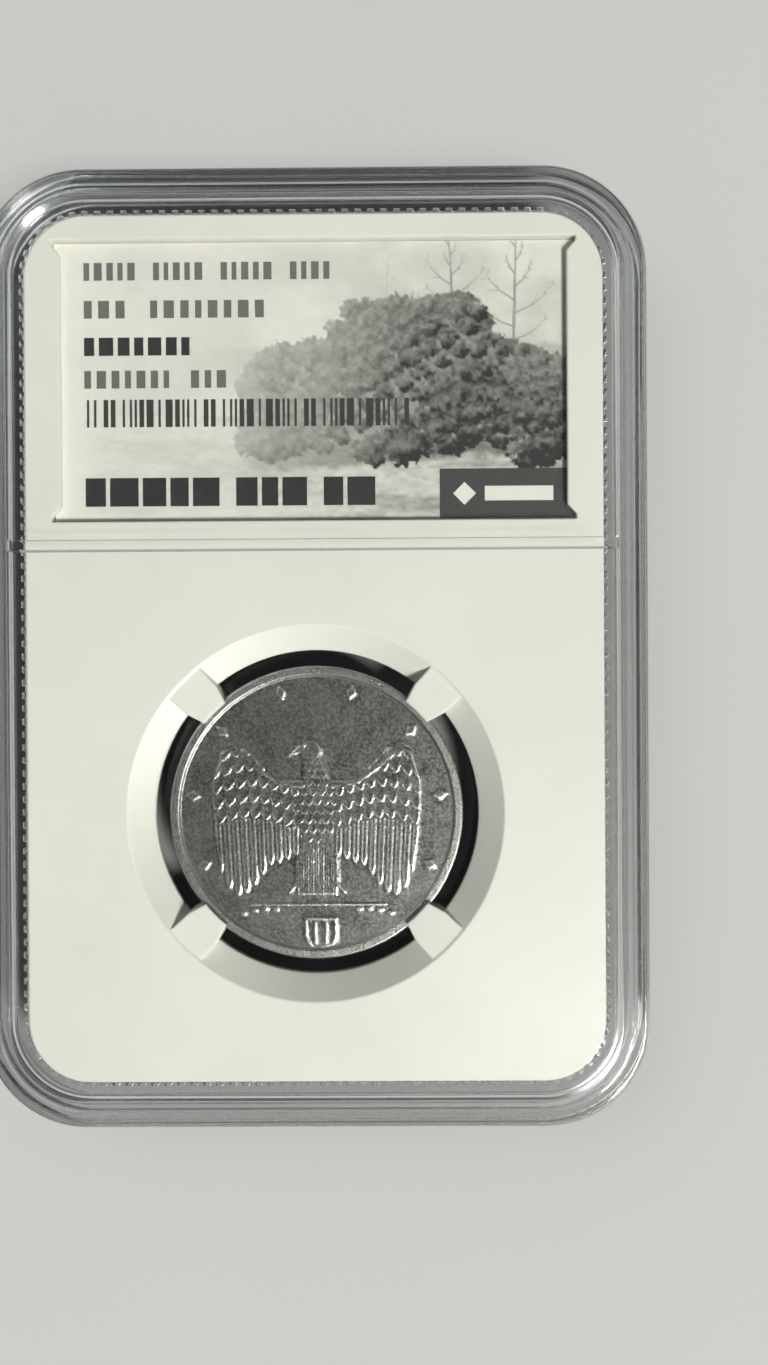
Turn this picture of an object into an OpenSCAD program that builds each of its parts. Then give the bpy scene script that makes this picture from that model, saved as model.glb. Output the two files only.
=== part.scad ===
// Graded coin slab: a welded two-shell clear holder with a white core, two cards, a foil seal and a coin.
// Lying flat on its back. X to the right, Y towards the label end, Z out of the front face.
// The origin is the middle of the area the slab rests on. All sizes are in millimetres.

/* [Overall] */
// Width of the closed slab
slab_w = 59.5; // [50:0.5:75]
// Length of the closed slab, from the coin end to the label end
slab_h = 85.5; // [72:0.5:105]
// Radius of the four outer corners, seen from the front
corner_r = 9.3; // [6:0.1:12]
// Rounding between the side wall and the front and back edges
shoulder_r = 0.5; // [0.2:0.1:0.8]

/* [Clear shells] */
// Thickness of the front and back windows
plate_t = 1.3; // [0.9:0.1:2]
// Thickness of the side wall, from the outer face to the cavity
wall_t = 3.35; // [3:0.05:4.5]
// Depth of the front window below the top of the stacking rim
front_recess = 0.8; // [0.5:0.1:1.5]
// Width of the low ledge outside the stacking rim
ledge_w = 1.5; // [1:0.1:2]
// Depth of that ledge below the top of the stacking rim
ledge_drop = 0.5; // [0.2:0.1:0.8]
// Width of the flat top of the stacking rim
rim_w = 1.0; // [0.6:0.1:1.6]
// Sideways run of the sloped wall from the rim down to the front window
slope_w = 0.45; // [0.2:0.05:0.8]
// Play between two slabs that are stacked, sideways and in height
stack_gap = 0.1; // [0.05:0.05:0.3]
// Width of the bar that divides the label window from the coin window
bar_w = 1.1; // [0.8:0.1:2]
// Height of that bar above the front window
bar_h = 0.4; // [0.2:0.1:0.5]
// Distance from the label pocket down to the middle of that bar
bar_below = 2.3; // [1.5:0.1:4]
// Distance from the outer face to the weld tongue on the back shell
tongue_in = 0.9; // [0.7:0.1:1.4]
// Width of the weld tongue
tongue_w = 0.8; // [0.5:0.1:1.2]
// Height of the weld tongue
tongue_h = 0.9; // [0.5:0.1:1.4]
// Play around the weld tongue in its groove
tongue_gap = 0.1; // [0.05:0.05:0.2]
// Spacing of the fine ribs on the inside of the front shell wall
rib_pitch = 1.17; // [0.8:0.01:2.5]
// Width of each fine rib
rib_w = 0.45; // [0.3:0.05:0.7]

/* [White core] */
// Gap between the core's edge and the shell wall
core_gap = 0.4; // [0.25:0.05:0.8]
// Gap between the fine ribs and the core's edge
rib_gap = 0.1; // [0.05:0.05:0.2]
// Gap between the core's front face and the front window
face_gap = 0.1; // [0.05:0.05:0.3]
// Width of the sloped ring between the coin's edge and the mouth of the hole
mouth_ring = 3.65; // [2.5:0.05:5]
// Width of the open ring around the coin at the narrowest part of the hole
waist_ring = 1.45; // [0.8:0.05:2]
// Height of the straight band at the narrowest part of the hole
waist_h = 0.5; // [0.2:0.1:1]
// Distance from the hole's mouth to the coin end of the core
coin_end = 7.1; // [4:0.1:10]
// Distance from the hole's mouth to the label pocket
pocket_gap = 9.4; // [6:0.1:14]
// Distance from the label pocket to the label end of the core
label_end = 2.1; // [1.5:0.1:5]
// Distance from the label pocket to each side of the core
pocket_side = 2.4; // [1.5:0.1:5]

/* [Coin prongs] */
// Width of each prong behind its cut corners
prong_w = 3.7; // [2.5:0.05:4.5]
// Width of each prong where it leaves the core
prong_root_w = 4.1; // [3:0.1:6]
// Width of each prong's end, over the coin's rim
prong_end_w = 2.7; // [1.5:0.1:3.5]
// Length of the cut corners at each prong's end
prong_cut = 1.6; // [0.5:0.1:2]
// How far each prong reaches over the coin's rim
prong_lip = 0.4; // [0.2:0.05:0.8]
// Thickness of the prong's lips above and below the coin, at the coin
lip_t = 0.6; // [0.4:0.05:1]
// Depth of the prong's tip below the face of the core
tip_drop = 0.35; // [0.1:0.05:0.8]
// Depth of the prong's root below the face of the core
root_drop = 0.1; // [0.05:0.05:0.4]

/* [Coin] */
// Diameter of the coin
coin_d = 26.7; // [20:0.1:34]
// Thickness of the coin at its rim
coin_t = 2.0; // [1.4:0.05:2.8]
// Width of the coin's raised rim
coin_rim_w = 0.75; // [0.5:0.05:1.5]
// Depth of the coin's field below its rim
field_drop = 0.22; // [0.1:0.01:0.35]
// Height of the design above the field
relief_h = 0.12; // [0.05:0.01:0.2]
// Play between the coin's edge and the bottom of the notch in each prong
coin_gap = 0.05; // [0.03:0.01:0.15]
// Number of small lozenges around the upper part of the design
lozenge_count = 8; // [4:1:16]

/* [Cards and seal] */
// Thickness of each printed card
card_t = 0.3; // [0.2:0.05:0.5]
// Play between a card and its pocket, all round
card_gap = 0.15; // [0.1:0.05:0.4]
// Play between a card's face and the ledges that hold it
card_play = 0.1; // [0.05:0.05:0.3]
// Thickness of the side ledges that hold each card
hold_t = 0.6; // [0.4:0.1:1]
// How far the side ledges reach over each card
hold_over = 0.65; // [0.4:0.05:1.2]
// Length at each corner of a card that is free of the ledge
corner_free = 1.3; // [0.8:0.1:2.5]
// Width of the foil seal on the rear card
foil_w = 24; // [10:1:30]
// Length of the foil seal
foil_h = 10; // [6:1:16]
// Thickness of the foil seal
foil_t = 0.1; // [0.05:0.05:0.15]

/* [Hidden] */
$fn = 96;
fine = 144;

// heights, from the resting plane up
core_t = coin_t + coin_gap + 2 * (lip_t + tip_drop);
skirt_h = ledge_drop + stack_gap;
floor_z = skirt_h + plate_t;
ceiling_z = floor_z + core_t + face_gap;
window_z = ceiling_z + plate_t;
slab_t = window_z + front_recess;
seam_z = floor_z + core_t / 2;
ledge_z = slab_t - ledge_drop;
core_mid_z = floor_z + core_t / 2;
core_top_z = floor_z + core_t;
coin_z = core_mid_z - (coin_t + coin_gap) / 2;

// the white core
core_w = slab_w - 2 * (wall_t + core_gap);
core_h = slab_h - 2 * (wall_t + core_gap);
core_r = corner_r - wall_t - core_gap;
coin_r = coin_d / 2;
mouth_r = coin_r + mouth_ring;
waist_r = coin_r + waist_ring;
notch_r = coin_r + coin_gap;
tip_r = coin_r - prong_lip;
coin_y = -core_h / 2 + coin_end + mouth_r;
design_unit = coin_r / 13;

// the label pockets and cards
pocket_w = core_w - 2 * pocket_side;
pocket_y0 = coin_y + mouth_r + pocket_gap;
pocket_y1 = core_h / 2 - label_end;
pocket_h = pocket_y1 - pocket_y0;
pocket_y = (pocket_y0 + pocket_y1) / 2;
card_w = pocket_w - 2 * card_gap;
card_h = pocket_h - 2 * card_gap;
slot_h = card_t + card_play;
pocket_d = slot_h + hold_t;
hold_gap = hold_over + card_gap;

// the shells
rim_in = ledge_w + rim_w + stack_gap;
skirt_w = ledge_w - 2 * stack_gap;
groove_h = tongue_h + tongue_gap;
bar_y = pocket_y0 - bar_below;
rib_d = core_gap - rib_gap;
seam_cut = 0.2;
bite = 0.2;

// A flat rounded rectangle centred on the origin.
module rounded_plate(w, h, r) {
    square([w - 2 * r, h], center = true);
    square([w, h - 2 * r], center = true);
    for (x = [-1, 1], y = [-1, 1])
        translate([x * (w / 2 - r), y * (h / 2 - r)])
            circle(r);
}

// Carries a cross-section round the slab's outline.
// In the cross-section x = 0 lies on the corner's axis and x = corner_r on the outer face.
module around_slab() {
    run_x = slab_w - 2 * corner_r;
    run_y = slab_h - 2 * corner_r;
    for (turn = [0, 180]) {
        rotate([0, 0, turn])
            translate([run_x / 2, run_y / 2, 0])
                rotate([90, 0, 0])
                    linear_extrude(run_y)
                        children();
        rotate([0, 0, turn + 90])
            translate([run_y / 2, run_x / 2, 0])
                rotate([90, 0, 0])
                    linear_extrude(run_x)
                        children();
        rotate([0, 0, turn])
            translate([run_x / 2, run_y / 2, 0])
                rotate_extrude(angle = 90)
                    children();
        rotate([0, 0, turn])
            translate([-run_x / 2, run_y / 2, 0])
                rotate([0, 0, 90])
                    rotate_extrude(angle = 90)
                        children();
    }
}

// The part of a window plate that lies between the corner axes.
module plate_middle(z0, z1) {
    translate([0, 0, (z0 + z1) / 2])
        cube([slab_w - 2 * corner_r, slab_h - 2 * corner_r, z1 - z0], center = true);
}

// Cross-section of the front shell: wall, ledge, stacking rim, slope and window.
module front_section() {
    difference() {
        union() {
            polygon([
                [corner_r, seam_z + seam_cut],
                [corner_r, ledge_z - shoulder_r],
                [corner_r - shoulder_r, ledge_z - shoulder_r],
                [corner_r - shoulder_r, ledge_z],
                [corner_r - ledge_w, ledge_z],
                [corner_r - ledge_w - stack_gap, slab_t],
                [corner_r - rim_in, slab_t],
                [corner_r - rim_in - slope_w, window_z],
                [0, window_z],
                [0, ceiling_z],
                [corner_r - wall_t, ceiling_z],
                [corner_r - wall_t, seam_z],
                [corner_r - seam_cut, seam_z]
            ]);
            translate([corner_r - shoulder_r, ledge_z - shoulder_r])
                circle(shoulder_r, $fn = 32);
        }
        translate([corner_r - tongue_in - tongue_w - tongue_gap, seam_z - bite])
            square([tongue_w + 2 * tongue_gap, groove_h + bite]);
    }
}

// Cross-section of the back shell: wall, skirt, window and weld tongue.
module back_section() {
    polygon([
        [corner_r, seam_z - seam_cut],
        [corner_r, shoulder_r],
        [corner_r - shoulder_r, shoulder_r],
        [corner_r - shoulder_r, 0],
        [corner_r - skirt_w, 0],
        [corner_r - skirt_w - stack_gap, skirt_h],
        [0, skirt_h],
        [0, floor_z],
        [corner_r - wall_t, floor_z],
        [corner_r - wall_t, seam_z],
        [corner_r - tongue_in - tongue_w, seam_z],
        [corner_r - tongue_in - tongue_w, seam_z + tongue_h],
        [corner_r - tongue_in, seam_z + tongue_h],
        [corner_r - tongue_in, seam_z],
        [corner_r - seam_cut, seam_z]
    ]);
    translate([corner_r - shoulder_r, shoulder_r])
        circle(shoulder_r, $fn = 32);
}

// One straight row of fine ribs, standing on a wall at x = 0 and pointing towards -X.
module rib_row(length) {
    count = floor((length - rib_w) / rib_pitch);
    half_row = count * rib_pitch / 2;
    translate([0, 0, seam_z + tongue_gap])
        linear_extrude(ceiling_z + bite - seam_z - tongue_gap)
            polygon(concat(
                [[bite, -half_row - rib_w / 2], [bite, half_row + rib_w / 2]],
                [for (i = [0:count], step = [0:3])
                    [
                        (step == 1 || step == 2) ? -rib_d : 0,
                        half_row - i * rib_pitch + (step < 2 ? rib_w / 2 : -rib_w / 2)
                    ]
                ]
            ));
}

// Fine ribs along the four straight parts of the front shell's inner wall.
module wall_ribs() {
    for (turn = [0, 180]) {
        rotate([0, 0, turn])
            translate([slab_w / 2 - wall_t, 0, 0])
                rib_row(slab_h - 2 * corner_r);
        rotate([0, 0, turn + 90])
            translate([slab_h / 2 - wall_t, 0, 0])
                rib_row(slab_w - 2 * corner_r);
    }
}

// The raised bar across the front window.
module window_bar() {
    reach = slab_w / 2 - rim_in;
    translate([-reach, bar_y, window_z])
        rotate([90, 0, 90])
            linear_extrude(2 * reach)
                polygon([
                    [-bar_w / 2, -bite],
                    [-bar_w / 2, 0],
                    [-bar_w / 4, bar_h],
                    [bar_w / 4, bar_h],
                    [bar_w / 2, 0],
                    [bar_w / 2, -bite]
                ]);
}

module front_shell() {
    color([0.86, 0.92, 0.94, 0.35])
        union() {
            around_slab()
                front_section();
            plate_middle(ceiling_z, window_z);
            wall_ribs();
            window_bar();
        }
}

module back_shell() {
    color([0.82, 0.89, 0.92, 0.35])
        union() {
            around_slab()
                back_section();
            plate_middle(skirt_h, floor_z);
        }
}

// The waisted hole for the coin, as a solid to take away.
module coin_hole() {
    translate([0, coin_y, floor_z])
        rotate_extrude($fn = fine)
            polygon([
                [0, -1],
                [mouth_r, -1],
                [mouth_r, 0],
                [waist_r, core_t / 2 - waist_h / 2],
                [waist_r, core_t / 2 + waist_h / 2],
                [mouth_r, core_t],
                [mouth_r, core_t + 1],
                [0, core_t + 1]
            ]);
}

// The four prongs, with a notch at half height for the coin's edge.
module prongs() {
    root_r = mouth_r + 0.5;
    translate([0, coin_y, floor_z])
        intersection() {
            rotate_extrude($fn = fine)
                polygon([
                    [tip_r, tip_drop],
                    [root_r, root_drop],
                    [root_r, core_t - root_drop],
                    [tip_r, core_t - tip_drop],
                    [tip_r, tip_drop + lip_t + coin_t + coin_gap],
                    [notch_r, tip_drop + lip_t + coin_t + coin_gap],
                    [notch_r, tip_drop + lip_t],
                    [tip_r, tip_drop + lip_t]
                ]);
            for (turn = [45:90:315])
                rotate([0, 0, turn])
                    translate([0, 0, -1])
                        linear_extrude(core_t + 2)
                            polygon([
                                [tip_r - 1, -prong_end_w / 2],
                                [tip_r, -prong_end_w / 2],
                                [tip_r + prong_cut, -prong_w / 2],
                                [root_r + 1, -prong_root_w / 2],
                                [root_r + 1, prong_root_w / 2],
                                [tip_r + prong_cut, prong_w / 2],
                                [tip_r, prong_end_w / 2],
                                [tip_r - 1, prong_end_w / 2]
                            ]);
        }
}

// One label pocket, opening towards +Z from z = 0: a slot for the card below two side ledges.
module pocket() {
    half_w = pocket_w / 2;
    half_h = pocket_h / 2;
    open_w = half_w - hold_gap;
    tab = corner_free / 3;
    translate([0, pocket_y, -pocket_d])
        linear_extrude(slot_h)
            square([pocket_w, pocket_h], center = true);
    translate([0, pocket_y, -pocket_d + slot_h / 2])
        linear_extrude(pocket_d + 1)
            polygon([
                [half_w, half_h],
                [half_w, half_h - tab],
                [open_w, half_h - corner_free],
                [open_w, corner_free - half_h],
                [half_w, tab - half_h],
                [half_w, -half_h],
                [-half_w, -half_h],
                [-half_w, tab - half_h],
                [-open_w, corner_free - half_h],
                [-open_w, half_h - corner_free],
                [-half_w, half_h - tab],
                [-half_w, half_h]
            ]);
}

module core() {
    color([0.95, 0.95, 0.9])
        union() {
            difference() {
                translate([0, 0, floor_z])
                    linear_extrude(core_t)
                        rounded_plate(core_w, core_h, core_r);
                coin_hole();
                translate([0, 0, core_top_z])
                    pocket();
                translate([0, 0, floor_z])
                    mirror([0, 0, 1])
                        pocket();
            }
            prongs();
        }
}

// A printed card lying on z = 0.
module card() {
    linear_extrude(card_t)
        rounded_plate(card_w, card_h, 0.4);
}

module front_label() {
    color([0.93, 0.92, 0.86])
        translate([0, pocket_y, core_top_z - pocket_d])
            card();
}

module rear_label() {
    color([0.93, 0.92, 0.86])
        translate([0, pocket_y, floor_z + pocket_d - card_t])
            card();
}

module security_foil() {
    color([0.72, 0.75, 0.8])
        translate([0, pocket_y, floor_z + pocket_d - card_t - foil_t])
            linear_extrude(foil_t)
                rounded_plate(foil_w, foil_h, 1);
}

// A bar with round ends from y0 up to y1, centred on x.
module round_bar(x, y0, y1, w) {
    translate([x - w / 2, y0])
        square([w, y1 - y0]);
    for (y = [y0, y1])
        translate([x, y])
            circle(w / 2, $fn = 24);
}

// One wing of a plain eagle: a row of long feathers that hang from a raised wing.
module wing() {
    feathers = 8;
    for (i = [0:feathers - 1])
        round_bar((2.7 + 0.85 * i) * design_unit,
                  (-4 - 0.35 * i) * design_unit,
                  (2.6 + 0.3 * i) * design_unit,
                  0.7 * design_unit);
}

// The design on the coin's front: an eagle with spread wings over a plain shield, without any writing.
module eagle() {
    shield_w = 2.6 * design_unit;
    shield_y = -9.9 * design_unit;
    base_w = 11 * design_unit;
    wing();
    mirror([1, 0])
        wing();
    round_bar(0, -2.5 * design_unit, 2.2 * design_unit, 3.6 * design_unit);
    translate([-0.3 * design_unit, 5.4 * design_unit])
        circle(1.1 * design_unit, $fn = 48);
    translate([-2.3 * design_unit, 5.2 * design_unit])
        square([2 * design_unit, 0.5 * design_unit]);
    for (x = [-1, 0, 1])
        round_bar(x * design_unit, -6.4 * design_unit, -5 * design_unit, 0.7 * design_unit);
    translate([-base_w / 2, -7.7 * design_unit])
        square([base_w, 0.3 * design_unit]);
    translate([-shield_w / 2, shield_y])
        square([shield_w, shield_w / 2]);
    translate([0, shield_y])
        circle(shield_w / 2, $fn = 48);
}

module coin() {
    edge = 0.12;
    field_r = coin_r - coin_rim_w;
    lozenge_r = 0.6 * design_unit;
    lozenge_in = 1.2 * design_unit;
    color([0.7, 0.7, 0.68])
        translate([0, coin_y, coin_z])
            union() {
                rotate_extrude($fn = fine)
                    polygon([
                        [0, field_drop],
                        [field_r - edge, field_drop],
                        [field_r, 0],
                        [coin_r - edge, 0],
                        [coin_r, edge],
                        [coin_r, coin_t - edge],
                        [coin_r - edge, coin_t],
                        [field_r, coin_t],
                        [field_r - edge, coin_t - field_drop],
                        [0, coin_t - field_drop]
                    ]);
                translate([0, 0, coin_t / 2])
                    linear_extrude(coin_t / 2 - field_drop + relief_h)
                        eagle();
                for (i = [0:lozenge_count - 1])
                    rotate([0, 0, -25 + i * 230 / (lozenge_count - 1)])
                        translate([field_r - lozenge_in, 0, coin_t / 2])
                            linear_extrude(coin_t / 2 - field_drop + relief_h)
                                polygon([
                                    [-lozenge_r, 0],
                                    [0, lozenge_r / 2],
                                    [lozenge_r, 0],
                                    [0, -lozenge_r / 2]
                                ]);
            }
}

front_shell();
back_shell();
core();
front_label();
rear_label();
security_foil();
coin();
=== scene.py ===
"""Graded coin slab: clear welded shells, white core, printed cards, foil seal and a worn steel coin.

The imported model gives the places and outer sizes. The panel's sizes shape the mouldings between them.
Lengths are in metres, and the slab lies on its back with Z out of its front window.
"""

import bpy
import numpy as np
from bpy.props import FloatProperty, FloatVectorProperty, IntProperty, PointerProperty
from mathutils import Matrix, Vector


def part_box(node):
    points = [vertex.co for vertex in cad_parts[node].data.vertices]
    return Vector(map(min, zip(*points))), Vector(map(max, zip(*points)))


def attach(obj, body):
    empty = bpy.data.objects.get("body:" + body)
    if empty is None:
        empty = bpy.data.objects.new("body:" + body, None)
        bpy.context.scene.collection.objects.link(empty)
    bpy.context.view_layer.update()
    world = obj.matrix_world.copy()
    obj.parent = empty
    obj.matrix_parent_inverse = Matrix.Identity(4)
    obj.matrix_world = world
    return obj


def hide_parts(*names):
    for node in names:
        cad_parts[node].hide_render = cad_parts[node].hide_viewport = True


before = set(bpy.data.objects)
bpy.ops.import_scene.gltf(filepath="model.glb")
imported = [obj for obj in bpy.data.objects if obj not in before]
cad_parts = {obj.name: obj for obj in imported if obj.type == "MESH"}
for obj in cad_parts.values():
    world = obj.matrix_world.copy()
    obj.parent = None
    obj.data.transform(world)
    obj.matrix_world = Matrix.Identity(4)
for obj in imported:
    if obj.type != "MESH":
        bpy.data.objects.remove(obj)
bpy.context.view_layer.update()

bl_info = {
    "name": "Graded coin slab",
    "version": (1, 0, 0),
    "blender": (4, 5, 0),
    "location": "View3D > Sidebar > Coin Slab",
    "description": "Builds a graded coin slab: clear shells, white core, cards, seal and coin",
    "category": "Object",
}

MM = 0.001
BODY = "root"
HAIRLINE = 0.015 * MM  # air left between a clear face and the face that lies against it
SUPPORT = 0.03 * MM  # distance from a rounded corner to the loops that hold its flat faces flat
RINGS_FRONT, RINGS_BACK = 129, 32  # circles of points across the coin's two faces
CLOSE = 1e-7  # a difference too small to count
EDGE_SHINE = 0.38  # how bright the coin's plain rim and edge wear, from 0 to 1
GOLDEN, OTHER_STEP = 0.6180339, 0.7548777  # steps whose multiples spread evenly and never repeat

# Corners of the shells' sections, counted from 0 in the order that front_section and back_section give them.
FRONT_WINDOW = range(0, 4)
FRONT_GROOVE = range(9, 13)
FRONT_CEILING = 14
BACK_TONGUE = range(3, 7)

# Lines along the window's bar, and where its grey flanks end, in shares of its width from its middle. The
# grey on the flanks is painted shade: two thin shade lines along the bar.
BAR_LINES = (-0.55, -0.5, -0.47, -0.44, -0.4, -0.32, 0.0, 0.2, 0.4, 0.44, 0.47, 0.5, 0.55)
FLANK_BELOW, FLANK_ABOVE = -0.32, 0.4


def length(name, description, default):
    """A length setting in metres."""
    return FloatProperty(
        name=name, description=description, default=default, min=0.0, precision=5, unit="LENGTH"
    )


def colour(name, description, default):
    """A colour setting, in linear light."""
    return FloatVectorProperty(
        name=name, description=description, default=default, size=3, min=0.0, max=1.0, subtype="COLOR"
    )


class SlabShellSettings(bpy.types.PropertyGroup):
    """Sizes of the two clear shells."""

    corner: length("Corner radius", "Radius of the outer corners seen from the front", 9.3 * MM)
    shoulder: length("Shoulder", "Rounding between the side wall and the front and back", 0.5 * MM)
    wall: length("Wall", "Thickness of the side wall", 3.35 * MM)
    window: length("Window", "Thickness of the front and back windows", 1.3 * MM)
    recess: length("Recess", "Depth of the front window below the rim", 0.8 * MM)
    ledge: length("Ledge", "Width of the low ledge outside the rim", 1.5 * MM)
    ledge_drop: length("Ledge drop", "Depth of the ledge below the rim", 0.5 * MM)
    rim: length("Rim", "Width of the flat top of the rim", 1.0 * MM)
    slope: length("Slope", "Sideways run from the rim down to the window", 0.45 * MM)
    play: length("Stacking play", "Play between two stacked slabs", 0.1 * MM)
    bar: length("Bar width", "Width of the bar across the window", 1.1 * MM)
    bar_height: length("Bar height", "Height of the bar above the window", 0.4 * MM)
    bar_below: length("Bar distance", "Distance from the label card to the bar", 2.45 * MM)
    tongue_inset: length("Tongue inset", "Distance from the outer face to the weld tongue", 0.9 * MM)
    tongue: length("Tongue", "Width of the weld tongue", 0.8 * MM)
    tongue_play: length("Tongue play", "Play around the weld tongue", 0.1 * MM)
    rib_pitch: length("Rib spacing", "Spacing of the fine ribs inside the wall", 1.17 * MM)
    rib: length("Rib width", "Width of each fine rib", 0.45 * MM)
    rib_depth: length("Rib depth", "Depth of each fine rib", 0.3 * MM)


class SlabCoinSettings(bpy.types.PropertyGroup):
    """Sizes of the coin's rim and design."""

    rim: length("Rim", "Width of the raised rim", 0.75 * MM)
    field: length("Field", "Depth of the field below the rim", 0.22 * MM)
    relief: length("Relief", "Greatest height of the design above the field", 0.11 * MM)
    turns: IntProperty(
        name="Turns", description="Steps round the coin", default=512, min=64, max=1024
    )


class SlabFinishSettings(bpy.types.PropertyGroup):
    """Colours of the slab's materials."""

    plastic: colour("Clear plastic", "Tint of the clear shells", (0.90, 0.92, 0.92))
    core: colour("Core", "The opaque white core", (0.845, 0.845, 0.755))
    paper: colour("Paper", "The cards' paper", (0.90, 0.89, 0.80))
    ink: colour("Ink", "The darkest print on the cards", (0.018, 0.018, 0.017))
    steel: colour("Steel", "Bright worn steel on the coin", (0.33, 0.322, 0.302))
    grime: colour("Grime", "Dark film in the coin's field", (0.03, 0.029, 0.027))
    foil: colour("Foil", "The seal's foil", (0.66, 0.70, 0.76))
    floor: colour("Floor", "The studio floor", (0.40, 0.40, 0.392))


# ---------------------------------------------------------------- surfaces


def ease(start, end, value):
    """0 below start, 1 above end, and a smooth cubic in between."""
    t = np.clip((value - start) / (end - start), 0.0, 1.0)
    return t * t * (3.0 - 2.0 * t)


def mottle(x, y, size, seed):
    """Smooth noise from 0 to 1: a repeatable number at each corner of a square lattice, blended over a
    cell."""
    gx, gy = x / size, y / size
    ix, iy = np.floor(gx), np.floor(gy)
    fx, fy = ease(0, 1, gx - ix), ease(0, 1, gy - iy)

    def corner(dx, dy):
        mixed = np.sin((ix + dx) * 12.9898 + (iy + dy) * 78.233 + seed) * 43758.5453
        return np.modf(np.abs(mixed))[0]

    low = corner(0, 0) * (1 - fx) + corner(1, 0) * fx
    high = corner(0, 1) * (1 - fx) + corner(1, 1) * fx
    return low * (1 - fy) + high * fy


def layered_mottle(x, y, size, seed, layers=4):
    """Several layers of mottle, each half the size and a bit over half the strength of the one
    before."""
    steps = np.arange(layers)
    weights = 0.55**steps
    total = sum(w * mottle(x, y, size / 2**k, seed + 7 * k) for k, w in zip(steps, weights))
    return total / weights.sum()


def rounded_section(rows, steps=5):
    """A cross-section from corners given as (inset, height, radius), and the corner that each point
    belongs to. A corner becomes an arc that touches both of its legs, found by turning from one radius
    to the other, with one more point on each leg just beside it. A corner of radius 0 stays a point."""
    rows = np.asarray(rows, float)
    spot, radius = rows[:, :2], rows[:, 2]
    back = np.vstack([spot[:1], spot[:-1]]) - spot
    ahead = np.vstack([spot[1:], spot[-1:]]) - spot
    back /= np.maximum(np.linalg.norm(back, axis=1, keepdims=True), 1e-12)
    ahead /= np.maximum(np.linalg.norm(ahead, axis=1, keepdims=True), 1e-12)
    half = np.arccos(np.clip((back * ahead).sum(1), -1, 1)) / 2
    half = np.where(radius > 0, half, np.pi / 4)
    middle = back + ahead
    middle /= np.maximum(np.linalg.norm(middle, axis=1, keepdims=True), 1e-12)
    centre = spot + middle * (radius / np.sin(half))[:, None]
    start = spot + back * (radius / np.tan(half))[:, None] - centre
    end = spot + ahead * (radius / np.tan(half))[:, None] - centre
    turn = (np.pi - 2 * half)[:, None, None]
    w = np.linspace(0, 1, steps)[None, :, None]
    arc = centre[:, None] + (
        np.sin((1 - w) * turn) * start[:, None] + np.sin(w * turn) * end[:, None]
    ) / np.sin(turn)
    before, after = arc[:, :1] + SUPPORT * back[:, None], arc[:, -1:] + SUPPORT * ahead[:, None]
    arc = np.concatenate([before, arc, after], axis=1)
    arc = np.where(radius[:, None, None] > 0, arc, spot[:, None])
    keep = np.ones(arc.shape[:2], bool)
    keep[radius == 0, 1:] = False
    owner = np.repeat(np.arange(len(rows))[:, None], arc.shape[1], 1)
    return arc[keep], owner[keep]


def make_piece(name, points, quads, panels, materials, quad_slots=None, values=None, crease=0.6, weld=True):
    """A mesh object from points, four-sided faces and many-sided flat panels. Points in one place are
    joined if weld is set, and faces that have shrunk to a line at a seam or pole are dropped. values
    are named numbers, one for each point."""
    first = joined = np.arange(len(points))
    if weld:
        _, first, joined = np.unique(np.round(points, 8), axis=0, return_index=True, return_inverse=True)
        joined = joined.reshape(-1)
    corners = joined[quads]
    kept = corners != np.roll(corners, 1, axis=1)
    sides = kept.sum(1)
    whole = sides >= 3
    loops = corners[whole][kept[whole]]
    ends = np.cumsum(sides[whole])[:-1]
    faces = [part.tolist() for part in np.split(loops, ends)] + [joined[p].tolist() for p in panels]
    mesh = bpy.data.meshes.new(name)
    mesh.from_pydata(points[first].tolist(), [], faces)
    for material in materials:
        mesh.materials.append(material)
    slots = np.zeros(len(faces), np.int32)
    if quad_slots is not None:
        slots[: whole.sum()] = quad_slots[whole]
    mesh.polygons.foreach_set("material_index", slots)
    smooth = np.ones(len(faces), bool)
    smooth[whole.sum() :] = False
    mesh.polygons.foreach_set("use_smooth", smooth)
    for key, numbers in (values or {}).items():
        layer = mesh.attributes.new(key, "FLOAT", "POINT")
        layer.data.foreach_set("value", numbers[first].astype(np.float32))
    mesh.update()
    mesh.set_sharp_from_angle(angle=crease)
    piece = bpy.data.objects.new(name, mesh)
    bpy.context.scene.collection.objects.link(piece)
    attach(piece, BODY)
    return piece


def grid_quads(rows, columns, closed):
    """Four-sided faces between neighbouring rows and columns of a grid of points, and from the last
    column back to the first if closed."""
    index = np.arange(rows * columns).reshape(rows, columns)
    after = np.roll(index, -1, axis=1)
    faces = np.stack([index[:-1], index[1:], after[1:], after[:-1]], axis=-1)
    if not closed:
        faces = faces[:, :-1]
    return faces.reshape(-1, 4)


def rib_marks(span, pitch, width, flank, centred=True):
    """Marks along a span for a row of ribs, and the rib's share of its full depth at each: both feet
    and both top edges of every rib."""
    count = int((span - width) / pitch) if centred else round(span / pitch) - 1
    spacing = pitch if centred else span / (count + 1)
    middles = (np.arange(count + 1) - count / 2) * spacing
    edges = np.array([-width / 2 - flank, -width / 2, width / 2, width / 2 + flank])
    marks = (middles[:, None] + edges).ravel()
    depths = np.tile([0.0, 1.0, 1.0, 0.0], count + 1)
    return marks, depths


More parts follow.
